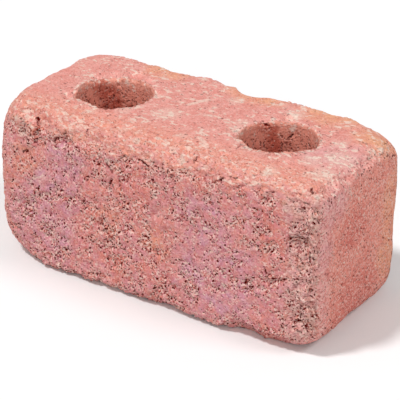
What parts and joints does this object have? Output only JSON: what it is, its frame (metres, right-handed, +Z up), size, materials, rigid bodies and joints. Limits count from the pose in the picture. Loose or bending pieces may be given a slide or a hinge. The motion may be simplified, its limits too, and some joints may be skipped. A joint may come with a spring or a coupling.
{
  "type": "tumbled concrete block",
  "caption": "Tumbled red concrete landscape block with rounded, chipped edges, a rough front face, and round upright core holes with worn lips for pinning courses.",
  "frame": {"origin": "middle of the bed face, on the floor plane that the block lies on", "axes": "+X along the block from the left end to the right end, -Y out of the rough front face, +Z up along the core holes"},
  "size_m": [0.28, 0.128, 0.128],
  "materials": {
    "red_concrete": "matt, rough and pitted pressed concrete, coloured right through in salmon red with mauve clouds"
  },
  "bodies": {
    "root": {"block": "red_concrete"}
  },
  "joints": []
}
